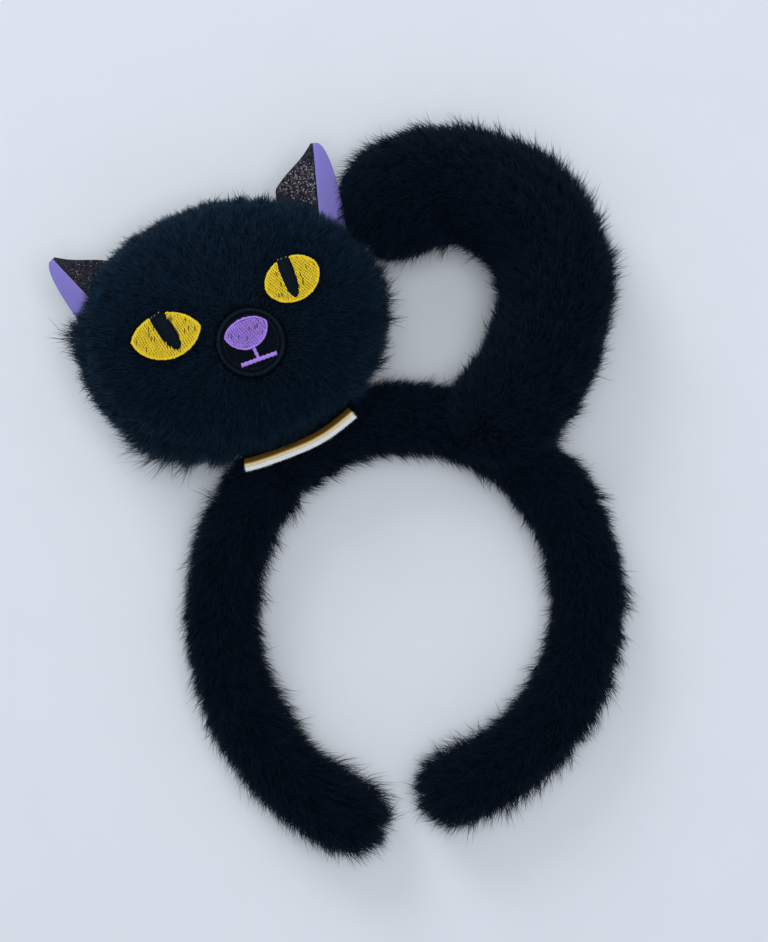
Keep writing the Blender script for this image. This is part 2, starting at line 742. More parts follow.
def coat(name, points, normals, nap, lengths, lift, seed, body, blend=None, material=None):
    """Long hair and undercoat on the given roots, shared out over pieces of a fair size."""
    fur = bpy.context.scene.headband_fur
    rng = np.random.default_rng(seed)
    lift = np.broadcast_to(lift, (len(points), 1))
    is_long = rng.random(len(points)) < 1 / (1 + fur.under_share)
    for kind, chosen, share in ((grow_hair, is_long, 19000), (grow_undercoat, ~is_long, 48000)):
        kept = np.flatnonzero(chosen)
        word = "long" if kind is grow_hair else "under"
        for part, first in enumerate(range(0, len(kept), share)):
            order = kept[first:first + share]
            hair = kind(f"{name}_{word}_{part + 1}", points[order], normals[order], nap[order],
                        lengths[order], lift[order], seed + 10, fur.hair_width,
                        material or fur_hair(), "black_faux_fur", body)
            if blend:
                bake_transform(hair)


def in_head(points, margin):
    """Which points lie inside the head's form, shrunk by a margin."""
    local = turned(points - np.array(HEAD_CENTRE), -HEAD_TURN)
    half = np.array(HEAD_HALF) - margin
    return ((local / half) ** 2).sum(1) < 1


def in_crown(points, margin):
    """Which points lie inside the crown's tube, shrunk by a margin."""
    reach = np.hypot(points[:, 0], points[:, 1]) - BAND_R
    return np.hypot(reach, points[:, 2] - BAND_PILE_R) < BAND_PILE_R - margin


def turned(points, angle):
    """Rows turned about Z."""
    c, s = math.cos(angle), math.sin(angle)
    out = points.copy()
    out[:, 0] = points[:, 0] * c - points[:, 1] * s
    out[:, 1] = points[:, 0] * s + points[:, 1] * c
    return out


def coat_count(skin):
    """How many roots a skin takes, long hair and undercoat together."""
    fur = bpy.context.scene.headband_fur
    return int(skin_area(skin) * fur.density * (1 + fur.under_share))


def tube_hair(name, skin, arc, length, seed, body, keep, blend=None, tip_growth=0.0, parting=None):
    """Fur on a tube's skin, lying towards its end, or both ways from a parting."""
    rng = np.random.default_rng(seed)
    points, normals = surface_points(skin, coat_count(skin), rng)
    angle, forward = arc.station(points)
    under = (normals[:, 2] < -0.5) & (rng.random(len(points)) < 0.55)
    kept = keep(points, angle) & ~under
    points, normals, angle, forward = points[kept], normals[kept], angle[kept], forward[kept]
    along = ((angle - arc.start) / (arc.end - arc.start)).clip(0, 1)
    lengths = length * (1 + tip_growth * along**3)
    outward = np.stack([points[:, 0] - arc.centre.x, points[:, 1] - arc.centre.y,
                        np.zeros(len(points))], axis=1)
    spread = np.sign((outward * normals).sum(1, keepdims=True)) * unit(outward)
    if parting is not None:
        forward = forward * np.tanh((angle - parting) / 0.25)[:, None]
    nap = forward + 0.35 * spread * (1 - np.abs(normals[:, 2:3]))
    coat(name, points, normals, nap, lengths, 0.55, seed + 10, body, blend)


# ---- Pieces -----------------------------------------------------------------


def blend_ends(point, along, reach):
    """Where a bend starts and ends, either side of a joint."""
    return tuple(point - along * reach), tuple(point + along * reach)


def make_arm(side_name, side, arm_r, end, seed):
    """One arm: its padded skin and its fur, which bend with the crown at the flex point."""
    fur = bpy.context.scene.headband_fur
    arc = arm_arc(side, arm_r, end, BAND_PILE_R)
    flex, along = arc.place(FLEX_ANGLE)
    body = f"{side_name}_arm"
    skin = tube_skin(f"{side_name}_arm_skin", arc, BAND_SKIN_R, 0.03, seed, True, True)
    inflate(skin, voxel=4.5 * MM, pressure=4.0, cap=1.2 * MM)
    start, finish = blend_ends(flex, along, 15 * MM)
    near = FLEX_ANGLE + math.radians(24)
    tube_hair(f"{side_name}_flex_fur", skin, arc, fur.band_length, seed + 100, None,
              lambda points, angle: (angle < near) & ~in_head(points, 3 * MM),
              blend=("crown", body, start, finish))
    tube_hair(f"{side_name}_arm_fur", skin, arc, fur.band_length, seed + 200, body,
              lambda points, angle: angle >= near, tip_growth=0.25)
    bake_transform(skin)
    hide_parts(f"{side_name}_fur_sleeve")


def make_crown():
    """The crown of the band, between the two flex points."""
    fur = bpy.context.scene.headband_fur
    reach = FLEX_ANGLE - OVERLAP_ANGLE + math.radians(3)
    arc = Arc(Vector((0, 0, 0)), BAND_R, -reach, reach, BAND_PILE_R)
    skin = tube_skin("crown_skin", arc, BAND_SKIN_R - 0.4 * MM, 0.02, 31, True, True)
    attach(skin, "crown")
    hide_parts("crown_fur_sleeve")
    tube_hair("crown_fur", skin, arc, fur.band_length * 0.9, 320, "crown",
              lambda points, angle: (np.abs(angle) < reach) & ~in_head(points, 4 * MM)
              & ~in_tail_root(points), parting=PARTING)


def in_tail_root(points):
    """Which points lie inside the tail's fixed stretch."""
    reach = np.hypot(points[:, 0] - ROOT_CENTRE.x, points[:, 1] - ROOT_CENTRE.y) - ROOT_R
    angle = np.arctan2(points[:, 1] - ROOT_CENTRE.y, points[:, 0] - ROOT_CENTRE.x)
    inside = np.hypot(reach, points[:, 2] - TAIL_PILE_R) < TAIL_SKIN_R - 2 * MM
    return inside & (angle > ROOT_START) & (angle < 0)


def make_tail():
    """The tail: a fixed root on the band, and the hooked stretch that sways."""
    fur = bpy.context.scene.headband_fur
    root = TailArc(ROOT_CENTRE, ROOT_R, ROOT_START, HOOK_START, TAIL_PILE_R)
    hook = TailArc(HOOK_CENTRE, HOOK_R, HOOK_START, HOOK_END, TAIL_PILE_R)
    root_skin = tube_skin("tail_root_skin", root, TAIL_SKIN_R, 0.02, 41, True, True)
    inflate(root_skin, voxel=5 * MM, pressure=4.0, cap=1.5 * MM)
    hook_skin = tube_skin("tail_skin", hook, TAIL_SKIN_R + 1.2 * MM, 0.03, 42, True, True)
    inflate(hook_skin, voxel=5 * MM, pressure=4.0, cap=1.5 * MM)
    sway, along = hook.place(HOOK_START)
    start, finish = blend_ends(sway, along, 13 * MM)
    bend = ("crown", "tail", start, finish)
    near = math.radians(28)
    tube_hair("tail_root_fur", root_skin, root, fur.tail_length, 430, None,
              lambda points, angle: (angle < HOOK_START + 0.02) & ~in_crown(points, 3 * MM),
              blend=bend)
    tube_hair("tail_bend_fur", hook_skin, hook, fur.tail_length, 440, None,
              lambda points, angle: (angle > HOOK_START - 0.03) & (angle < near), blend=bend)
    tube_hair("tail_fur", hook_skin, hook, fur.tail_length, 450, "tail",
              lambda points, angle: angle >= near)
    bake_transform(root_skin)
    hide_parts("tail_root_sleeve")
    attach(hook_skin, "tail")
    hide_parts("tail_sleeve")


def face_points(flat):
    """Rows of places on the face, moved into the frame, with no height yet."""
    out = turned(np.column_stack([flat, np.zeros(len(flat))]), FACE_TURN)
    return out + np.array(FACE_CENTRE)


def head_height(points, lift):
    """Height of the head's form, grown by a lift, over each point."""
    local = turned(points - np.array([HEAD_CENTRE.x, HEAD_CENTRE.y, 0]), -HEAD_TURN)
    half = np.array(HEAD_HALF) + lift
    left = 1 - (local[:, 0] / half[0]) ** 2 - (local[:, 1] / half[1]) ** 2
    return HEAD_CENTRE.z + half[2] * np.sqrt(np.maximum(left, 1e-4))


def head_normals(points):
    """Outward normals of the head's form."""
    local = turned(points - np.array(HEAD_CENTRE), -HEAD_TURN)
    slope = local / np.array(HEAD_HALF) ** 2
    return unit(turned(slope, HEAD_TURN))


def eye_radius(eye, angle, grow=0.0):
    """How far an eye's outline is from its centre, at an angle in its own frame."""
    half = (eye["half"] * MM) + grow
    rise = np.where(np.sin(angle) >= 0, eye["top"], eye["bottom"]) * MM + grow
    bow = (half**2 + rise**2) / (2 * rise)
    drop = rise - bow
    up = np.abs(np.sin(angle))
    pointed = up * drop + np.sqrt((up * drop) ** 2 - drop**2 + bow**2)
    rounded = half * rise / np.hypot(rise * np.cos(angle), half * np.sin(angle))
    return pointed * (1 - eye["round"]) + rounded * eye["round"]


def slit_radius(eye, angle, grow=0.0):
    """A pupil's outline: square at its head, and drawn out to a point at its foot."""
    power = np.where(np.cos(angle) >= 0, 7.0, 2.2)
    along = np.abs(np.cos(angle)) / (SLIT_REACH + grow)
    across = np.abs(np.sin(angle)) / (eye["slit_half"] * MM + grow)
    return (along**power + across**power) ** (-1 / power)


def circle(radius):
    """A round outline."""
    return lambda angle: np.full(np.shape(angle), radius)


def outline_points(radius, angles, centre, turn):
    """Places on an outline, in the face's frame."""
    reach = radius(angles)
    c, s = np.cos(angles + turn), np.sin(angles + turn)
    return np.column_stack([centre.x + reach * c, centre.y + reach * s])


def face_puck(name, radius, centre, turn, low, high, material, segments=20):
    """A patch that follows the head: a grid pulled to an outline, with a wall into the fur."""
    bm = bmesh.new()
    bmesh.ops.create_grid(bm, x_segments=segments, y_segments=segments, size=1)
    flat = np.array([vert.co[:2] for vert in bm.verts])
    reach = np.abs(flat).max(1)
    angle = np.arctan2(flat[:, 1], flat[:, 0])
    edge = outline_points(radius, angle, centre, turn)
    middle = np.array([centre.x, centre.y])
    places = face_points(middle + (edge - middle) * reach[:, None])
    places[:, 2] = head_height(places, high)
    for vert, place in zip(bm.verts, places):
        vert.co = place
    wall = bmesh.ops.extrude_face_region(bm, geom=list(bm.faces))
    for item in wall["geom"]:
        if isinstance(item, bmesh.types.BMVert):
            item.co.z -= high - low
    piece = finish_bmesh(bm, name, [material])
    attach(piece, "crown")
    return piece


STITCH_FACES = [
    (0, 1, 2), (0, 2, 3), (0, 3, 4), (0, 4, 1),
    (1, 5, 6), (1, 6, 2), (2, 6, 7), (2, 7, 3), (3, 7, 8), (3, 8, 4), (4, 8, 5), (4, 5, 1),
    (9, 6, 5), (9, 7, 6), (9, 8, 7), (9, 5, 8),
]


def sew(name, starts, ends, lift, width, material, seed):
    """Stitches on the face, each a plump thread from its start to its end that dips at both."""
    rng = np.random.default_rng(seed)
    count = len(starts)
    a, b = face_points(starts), face_points(ends)
    a[:, 2], b[:, 2] = head_height(a, lift), head_height(b, lift)
    normal = head_normals((a + b) / 2)
    along = unit(b - a)
    side = np.cross(normal, along)
    w = (width * (0.85 + 0.3 * rng.random(count)))[:, None] / 2
    rise = w * 1.1
    shoulders = [a + (b - a) * 0.18, a + (b - a) * 0.82]
    rows = [a - normal * rise]
    for place in shoulders:
        rows += [place + side * w, place + normal * rise, place - side * w, place - normal * rise]
    rows.append(b - normal * rise)
    return small_solids(name, np.stack(rows, axis=1), STITCH_FACES,
                        rng.integers(0, SWATCHES, count),
                        (0.5, 0.2, 0.4, 0.6, 0.8, 0.2, 0.4, 0.6, 0.8, 0.5),
                        (0.02, 0.25, 0.25, 0.25, 0.25, 0.75, 0.75, 0.75, 0.75, 0.98),
                        material, "crown")


FILL_SPAN = 18 * MM
MISSED_STITCHES = 0.04


def fill_rows(radius, centre, turn, lean, length, pitch, seed, keep=None):
    """Starts and ends of fill stitches: rows of equal stitches, each row shifted against the last."""
    rng = np.random.default_rng(seed)
    starts, ends = [], []
    way = np.array([math.cos(lean), math.sin(lean)])
    across = np.array([-way[1], way[0]])
    middle = np.array([centre.x, centre.y])
    for row in range(int(2 * FILL_SPAN / pitch)):
        offset = -FILL_SPAN + row * pitch
        shift = (row * 0.37) % 1 * length
        for step in range(int(2 * FILL_SPAN / length) + 1):
            low = -FILL_SPAN + step * length + shift + rng.normal() * 0.08 * MM
            spots = [low, low + length * 1.04]
            pair = [middle + across * offset + way * s for s in spots]
            pair = [pulled_in(p, radius, middle, turn) for p in pair]
            (start, _), (end, _) = pair
            if any(inside for _, inside in pair) and np.linalg.norm(end - start) > 0.5 * MM:
                spot = (start + end) / 2
                if (keep is None or keep(spot)) and rng.random() > MISSED_STITCHES:
                    starts.append(start)
                    ends.append(end)
    return np.array(starts), np.array(ends)


def pulled_in(point, radius, middle, turn):
    """A point, moved in to the outline if it lies outside, and whether it lay inside."""
    away = point - middle
    angle = math.atan2(away[1], away[0]) - turn
    limit = float(radius(np.array([angle]))[0])
    reach = float(np.hypot(*away))
    if reach <= limit:
        return point, True
    return middle + away * (limit / reach), False


def satin_ring(radius, centre, turn, inner, outer, pitch):
    """Starts and ends of satin stitches across an outline."""
    angles = np.linspace(0, 2 * math.pi, 721)
    path = outline_points(radius, angles, centre, turn)
    run = np.concatenate([[0], np.cumsum(np.linalg.norm(np.diff(path, axis=0), axis=1))])
    even = np.arange(0, run[-1], pitch)
    angles = np.interp(even, run, angles)
    path = outline_points(radius, angles, centre, turn)
    middle = np.array([centre.x, centre.y])
    away = path - middle
    away = away / np.linalg.norm(away, axis=1, keepdims=True)
    skew = np.column_stack([-away[:, 1], away[:, 0]]) * pitch * 0.5
    rng = np.random.default_rng(len(path))
    uneven = rng.normal(size=(2, len(path), 1)) * 0.1 * MM
    return path - away * (inner + uneven[0]) + skew, path + away * (outer + uneven[1]) - skew


def satin_bar(start, end, width, pitch):
    """Starts and ends of satin stitches across a straight bar."""
    start, end = np.array(start), np.array(end)
    length = np.linalg.norm(end - start)
    way = (end - start) / length
    steps = np.arange(0, length, pitch)[:, None]
    beads = round(length / (1.9 * MM))
    swell = 1 + 0.16 * np.cos(2 * math.pi * beads * steps / length)
    side = np.array([-way[1], way[0]]) * width / 2 * swell
    return start + way * steps - side, start + way * (steps + pitch * 0.6) + side


def near_eye(points, margin):
    """Which points lie over an eye's patch, with a margin."""
    flat = turned(points - np.array(FACE_CENTRE), -FACE_TURN)[:, :2]
    found = np.zeros(len(points), dtype=bool)
    for eye in EYES.values():
        away = flat - np.array(eye["at"])
        angle = np.arctan2(away[:, 1], away[:, 0]) - math.radians(eye["turn"])
        found |= np.hypot(away[:, 0], away[:, 1]) < eye_radius(eye, angle) + margin
    return found


def near_collar(points):
    """Which points lie close beside the collar strip."""
    away = points[:, :2] - np.array(COLLAR_CENTRE)[:2]
    angle = np.arctan2(away[:, 1], away[:, 0])
    beside = np.abs(angle - COLLAR_MID) < COLLAR_SWEEP / 2 + math.radians(1)
    return beside & (np.abs(np.hypot(away[:, 0], away[:, 1]) - COLLAR_R) < 7 * MM)


def make_head():
    """The stuffed head: its skin and its short fur, which parts round the face's patches."""
    fur = bpy.context.scene.headband_fur
    bm = bmesh.new()
    half = HEAD_HALF - Vector((1, 1, 1)) * HEAD_SKIN_INSET
    place = Matrix.Translation(HEAD_CENTRE) @ Matrix.Rotation(HEAD_TURN, 4, "Z")
    bmesh.ops.create_icosphere(bm, subdivisions=4, radius=1,
                               matrix=place @ Matrix.Diagonal((*half, 1)))
    skin = finish_bmesh(bm, "head_skin", [fur_foot()])
    inflate(skin, voxel=5.5 * MM, pressure=3.0, cap=1.0 * MM)
    rng = np.random.default_rng(71)
    points, normals = surface_points(skin, int(coat_count(skin) * 1.15), rng)
    flat = turned(points - np.array(FACE_CENTRE), -FACE_TURN)[:, :2]
    from_muzzle = flat - np.array(MUZZLE)
    reach = np.hypot(from_muzzle[:, 0], from_muzzle[:, 1])
    front = normals[:, 2] > 0.1
    kept = ~(front & near_eye(points, 0.2 * MM)) & ~(front & (reach < MUZZLE_R + 0.4 * MM))
    kept &= ~in_crown(points, 2 * MM)
    kept &= (normals[:, 2] > -0.45) | (rng.random(len(points)) < 0.5)
    points, normals, flat, reach = points[kept], normals[kept], flat[kept], reach[kept]
    nap = np.column_stack([from_muzzle[kept], np.zeros(len(flat))])
    nap = turned(unit(nap), FACE_TURN)
    nap[:, 2] -= 0.15
    near = near_eye(points, 5 * MM) & (normals[:, 2] > 0.3)
    lengths = fur.head_length * np.where(near, 0.6, 1.0)
    lengths *= np.interp(reach, [14 * MM, 20 * MM, 40 * MM], [0.75, 0.9, 1.0])
    lengths *= np.where(normals[:, 2] > 0.5, 0.8, 1.0)
    lengths *= 1 + 0.3 * np.exp(-((normals[:, 2] / 0.45) ** 2))
    round_angle = np.arctan2(points[:, 1] - HEAD_CENTRE.y, points[:, 0] - HEAD_CENTRE.x)
    rim = normals[:, 2] < 0.6
    for place, spread, more in TUFTS:
        off = (round_angle - math.radians(place) + math.pi) % (2 * math.pi) - math.pi
        lengths *= 1 + rim * more * np.exp(-((off / math.radians(spread)) ** 2))
    lengths *= np.where(near_collar(points), 0.45, 1.0)
    lift = 0.42 + 0.75 * np.clip((normals[:, 2:3] - 0.6) / 0.35, 0, 1)
    coat("head_fur", points, normals, nap, lengths, lift, 710, "crown", material=head_hair())
    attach(skin, "crown")
    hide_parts("head_front_panel", "head_back_panel")


def make_eye(name):
    """An eye: its patch, rows of fill stitches, a satin edge and a slit pupil."""
    face = bpy.context.scene.headband_face
    eye = EYES[name]
    turn = math.radians(eye["turn"])
    inner = partial(eye_radius, eye, grow=-CLOTH_INSET)
    slit = partial(slit_radius, eye)
    colour = face.eye_colour
    yellow = thread_material("yellow_thread", [c * 0.25 for c in colour], colour, 0.5, sheen=0.05)
    base = grained("eye_cloth", (0.04, 0.025, 0.002), (0.3, 0.2, 0.004), 1500, 0.8, 0.1 * MM)
    patch = face_puck(f"{name}_eye_base", inner, eye["at"], turn, -PATCH_DEPTH, 0.5 * MM,
                      base)
    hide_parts(f"{name}_eye_patch")
    middle = Vector(eye["at"]) + Vector(eye["slit_at"]) * MM
    slit_turn = math.radians(90 + eye["slit_lean"])

    def clear_of_slit(spot):
        """Whether a spot lies outside the pupil."""
        away = spot - np.array(middle)
        angle = np.array([math.atan2(away[1], away[0]) - slit_turn])
        return math.hypot(*away) > float(slit(angle)[0])

    lean = math.radians(82) + turn
    starts, ends = fill_rows(inner, eye["at"], turn, lean, FILL_STITCH, face.thread_width,
                             801, clear_of_slit)
    sew(f"{name}_eye_fill", starts, ends, 0.75 * MM, face.thread_width, yellow,
        811)
    starts, ends = satin_ring(partial(eye_radius, eye), eye["at"], turn, 0.8 * MM, 0.1 * MM,
                              SATIN_PITCH)
    kept = np.array([clear_of_slit(spot) for spot in starts])
    sew(f"{name}_eye_edge", starts[kept], ends[kept], 0.8 * MM, face.thread_width, yellow,
        821)
    black = thread_material("pupil_thread", (0.0006, 0.0012, 0.003), (0.002, 0.0075, 0.015), 0.7,
                            sheen=0, gloss=0.1)
    floor = grained("pupil_cloth", (0.0006, 0.001, 0.003), (0.002, 0.005, 0.01), 1500, 0.8,
                    0.1 * MM, gloss=0.1)
    pupil = face_puck(f"{name}_pupil_base", slit, middle, slit_turn, -0.2 * MM, 0.85 * MM, floor,
                      16)
    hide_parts(f"{name}_pupil")
    way = np.array([math.cos(slit_turn), math.sin(slit_turn)])
    cross = np.array([-way[1], way[0]])
    steps = np.arange(-0.97, 0.97, 0.03)
    power = np.where(steps >= 0, 7.0, 2.2)
    half = (eye["slit_half"] * MM * (1 - np.abs(steps) ** power) ** (1 / power))[:, None]
    centres = np.array(middle) + way * steps[:, None] * SLIT_REACH
    pale = thread_material("pale_thread", (0.2, 0.2, 0.22), (0.6, 0.6, 0.62), 0.7)
    specks = np.array(middle) + way * 8.2 * MM + cross * np.array([[-1.9], [0.2], [1.6]]) * MM
    sew(f"{name}_pupil_specks", specks, specks + (cross - way * 0.5) * 0.7 * MM, 1.2 * MM,
        0.2 * MM, pale, 832)
    sew(f"{name}_pupil_stitches", centres - cross * half, centres + cross * half, 0.95 * MM,
        0.5 * MM, black, 831)


def make_muzzle():
    """The round muzzle patch with its raised edge, the nose, the stem and the mouth."""
    face = bpy.context.scene.headband_face
    felt = grained("muzzle_felt", (0.0006, 0.001, 0.003), (0.003, 0.006, 0.013), 1400, 0.85,
                   0.25 * MM, gloss=0.06)
    black = thread_material("muzzle_thread", (0.0006, 0.001, 0.003), (0.002, 0.006, 0.012), 0.7,
                            sheen=0, gloss=0.08)
    edge_thread = thread_material("edge_thread", (0.0008, 0.0015, 0.004), (0.003, 0.011, 0.021),
                                  0.6, sheen=0, gloss=0.12)
    round_edge = circle(MUZZLE_R - CLOTH_INSET)
    patch = face_puck("muzzle_base", round_edge, MUZZLE, 0, -PATCH_DEPTH, 0.5 * MM, felt)
    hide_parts("muzzle_patch")
    starts, ends = satin_ring(round_edge, MUZZLE, 0, 1.3 * MM, 0.5 * MM, 0.42 * MM)
    border = sew("muzzle_edge", starts, ends, 1.1 * MM, 0.55 * MM, edge_thread, 841)
    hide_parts("muzzle_border")
    ring = circle(MUZZLE_R - 3.1 * MM)
    starts, ends = satin_ring(ring, MUZZLE, 0, 0.3 * MM, 0.3 * MM, 0.6 * MM)
    sew("muzzle_inner_ring", starts, ends, 0.7 * MM, 0.45 * MM, edge_thread, 842)
    starts, ends = fill_rows(ring, MUZZLE, 0, math.radians(20), FILL_STITCH, 0.75 * MM, 843)
    sew("muzzle_fill", starts, ends, 0.5 * MM, 0.5 * MM, black, 844)

    colour = face.nose_colour
    lilac = thread_material("lilac_thread", [c * 0.3 for c in colour], colour, 0.45)
    nose_at = MUZZLE + Vector((0.1, 5.4)) * MM
    base = grained("nose_cloth", (0.05, 0.03, 0.1), (0.16, 0.09, 0.3), 1500, 0.8, 0.1 * MM)
    puck = face_puck("nose_base", partial(eye_radius, NOSE, grow=-CLOTH_INSET), nose_at, 0,
                     -0.5 * MM, 0.9 * MM, base, 14)
    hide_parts("nose_patch")
    starts, ends = fill_rows(partial(eye_radius, NOSE, grow=-0.9 * MM), nose_at, 0,
                             math.radians(75), 1.9 * MM, face.thread_width * 1.12, 851)
    sew("nose_fill", starts, ends, 1.1 * MM, face.thread_width * 0.95, lilac, 852)
    starts, ends = satin_ring(partial(eye_radius, NOSE), nose_at, 0, 0.9 * MM, 0.15 * MM,
                              SATIN_PITCH)
    sew("nose_edge", starts, ends, 1.3 * MM, face.thread_width * 1.1, lilac, 853)

    bar_at = MUZZLE + Vector((0.2, -7.6)) * MM
    turn = math.radians(-4)
    reach = 7.4 * MM
    way = np.array([math.cos(turn), math.sin(turn)]) * reach
    starts, ends = satin_bar(np.array(bar_at) - way, np.array(bar_at) + way, 1.9 * MM, BAR_PITCH)
    stem_top = np.array(MUZZLE) + np.array([0.1, -1.6]) * MM
    more = satin_bar(stem_top, np.array(bar_at) + np.array([0, 0.9 * MM]), 1.6 * MM, BAR_PITCH)
    starts, ends = np.vstack([starts, more[0]]), np.vstack([ends, more[1]])
    mouth = sew("mouth_stitches", starts, ends, 0.95 * MM, face.thread_width * 1.15, lilac,
                861)
    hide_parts("mouth_line")


def ear_places(flat, side, lift):
    """Places on an ear, from its own frame (X up the crease, Y inwards), in the frame."""
    z = flat[:, 2] + lift
    c, s = math.cos(EAR_LEAN), math.sin(EAR_LEAN)
    u = EAR_FOOT.x + flat[:, 0] * c - flat[:, 1] * s
    v = EAR_FOOT.y + flat[:, 0] * s + flat[:, 1] * c
    out = face_points(np.column_stack([u * side, v]))
    out[:, 2] = HEAD_CENTRE.z + z
    return out


def ear_surface(s, t):
    """A place on the folded ear: s from -1 at its outer edge to 1, and t from base to tip."""
    inner = np.clip(s, 0, 1)
    outer = np.clip(-s, 0, 1)
    up = np.clip((t - EAR_TUCKED_SHARE) / (1 - EAR_TUCKED_SHARE), 0, 1)
    x = inner * 7.2 * MM - outer * 4.4 * MM
    x = x + (EAR_CREASE - x) * up - EAR_TUCK * np.clip(1 - t / EAR_TUCKED_SHARE, 0, 1)
    wave = 0.5 * MM * np.sin(2.2 * math.pi * up)
    y = inner * (EAR_INNER_WING * (1 - up) + wave) - outer * EAR_OUTER_WING * (1 - up) ** 0.4
    fold = np.sqrt(y**2 + (0.8 * MM) ** 2) - 0.8 * MM
    z = -fold * EAR_FOLD_SLOPE + 2.5 * MM * up + 0.7 * MM * np.sin(3 * up + s)
    return np.column_stack([x, y, z])


def ear_sheet(name, side, s_range, lift, thickness, materials, body):
    """One layer of an ear, as a folded sheet with a little thickness."""
    bm = bmesh.new()
    bmesh.ops.create_grid(bm, x_segments=22, y_segments=26, size=1)
    flat = np.array([vert.co[:2] for vert in bm.verts])
    s = s_range[0] + (s_range[1] - s_range[0]) * (flat[:, 0] + 1) / 2
    t = (flat[:, 1] + 1) / 2 * 0.985
    places = ear_places(ear_surface(s, t), side, lift)
    for vert, place in zip(bm.verts, places):
        vert.co = place
    bmesh.ops.recalc_face_normals(bm, faces=bm.faces)
    if sum(face.normal.z for face in bm.faces) < 0:
        bmesh.ops.reverse_faces(bm, faces=bm.faces)
    for face in bm.faces:
        face.smooth = True
    mesh = bpy.data.meshes.new(name)
    bm.to_mesh(mesh)
    bm.free()
    piece = add_object(name, mesh, materials)
    wall = piece.modifiers.new("thickness", "SOLIDIFY")
    wall.thickness = thickness
    wall.offset = 0
    wall.material_offset_rim = 1 if len(materials) > 1 else 0
    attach(piece, body)
    return piece


FLAKE_FACES = [(0, 1, 2), (0, 3, 1), (1, 3, 2), (2, 3, 0)]
DULL_SWATCHES = (1, 5, 9)


def make_flakes(name, side, body, count, bright, seed):
    """Glitter flakes on an ear's inner wing: tiny tilted facets, each a thin closed wedge."""
    rng = np.random.default_rng(seed)
    s = rng.uniform(0.03, 0.98, count)
    t = 0.2 + 0.78 * rng.beta(1.1, 1.6, count)
    centre = ear_places(ear_surface(s, t), side, EAR_T * 0.5 + 0.15 * MM)
    tilt = unit(np.column_stack([rng.normal(size=(count, 2)) * 0.45, np.ones(count)]))
    side_way = unit(np.cross(tilt, rng.normal(size=(count, 3))))
    other = np.cross(tilt, side_way)
    size = (rng.uniform(0.25, 0.55, count) * MM)[:, None]
    corners = [centre + (side_way * math.cos(a) + other * math.sin(a)) * size
               for a in (0.3, 2.4, 4.5)]
    rows = np.stack([*corners, centre - tilt * size * 0.5], axis=1)
    near_base = (t < 0.72) & (rng.random(count) < bright)
    column = np.where(near_base, rng.integers(0, SWATCHES, count),
                      rng.choice(DULL_SWATCHES, count))
    return small_solids(name, rows, FLAKE_FACES, column, (0.2, 0.8, 0.5, 0.5),
                        (0.1, 0.1, 0.9, 0.5), glitter_material(), body)


def make_ear(name, side, bright, seed):
    """An ear: folded glitter cloth with a lining on its outer wing."""
    trim = bpy.context.scene.headband_trim
    body = f"{name}_ear"
    cloth = grained("glitter_cloth", (0.002, 0.004, 0.007), (0.012, 0.019, 0.028), 1800, 0.6,
                    0.3 * MM, gloss=0.2)
    colour = trim.lining_colour
    felt = grained("lavender_felt", [c * 0.8 for c in colour], [min(1, c * 1.18) for c in colour],
                   1300, 0.8, 0.12 * MM, sheen=0.3, sheen_tint=(0.8, 0.75, 1))
    rim = grained("lavender_cut_edge", (0.35, 0.3, 0.62), (0.6, 0.55, 0.85), 1600, 0.85, 0.1 * MM)
    shell = ear_sheet(f"{name}_ear_cloth", side, (-0.97, 1.0), 0, EAR_T * 0.8, [cloth],
                      body)
    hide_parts(f"{name}_ear_shell")
    lining = ear_sheet(f"{name}_ear_felt", side, (-1.0, -0.02), EAR_T * 1.05, EAR_T * 0.8,
                       [felt, rim], body)
    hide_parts(f"{name}_ear_lining")
    make_flakes(f"{name}_ear_glitter", side, body, trim.flakes, bright, seed)


def collar_strip(name, depth, thickness, low, high, material):
    """A curved strip that stands in the furrow between head and band, leaning away from the head."""
    bm = bmesh.new()
    bmesh.ops.create_cube(bm, size=1)
    long_edges = [e for e in bm.edges if abs(e.verts[0].co.x - e.verts[1].co.x) > 0.5]
    bmesh.ops.subdivide_edges(bm, edges=long_edges, cuts=40, use_grid_fill=True)
    tall = [e for e in bm.edges if abs(e.verts[0].co.z - e.verts[1].co.z) > 0.5]
    bmesh.ops.subdivide_edges(bm, edges=tall, cuts=3, use_grid_fill=True)
    for vert in bm.verts:
        angle = COLLAR_MID + vert.co.x * COLLAR_SWEEP
        across = depth + (vert.co.y + 0.5) * thickness
        rise = low + (vert.co.z + 0.5) * (high - low)
        out = across * math.cos(COLLAR_LEAN) + rise * math.sin(COLLAR_LEAN)
        up = rise * math.cos(COLLAR_LEAN) - across * math.sin(COLLAR_LEAN)
        radius = COLLAR_R + out + 0.25 * MM * math.sin(9 * vert.co.x)
        vert.co = (COLLAR_CENTRE.x + radius * math.cos(angle),
                   COLLAR_CENTRE.y + radius * math.sin(angle), COLLAR_Z + up)
    piece = finish_bmesh(bm, name, [material], smooth=False)
    soft = piece.modifiers.new("soft_edges", "BEVEL")
    soft.width = 0.12 * MM
    soft.segments = 2
    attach(piece, "crown")
    return piece


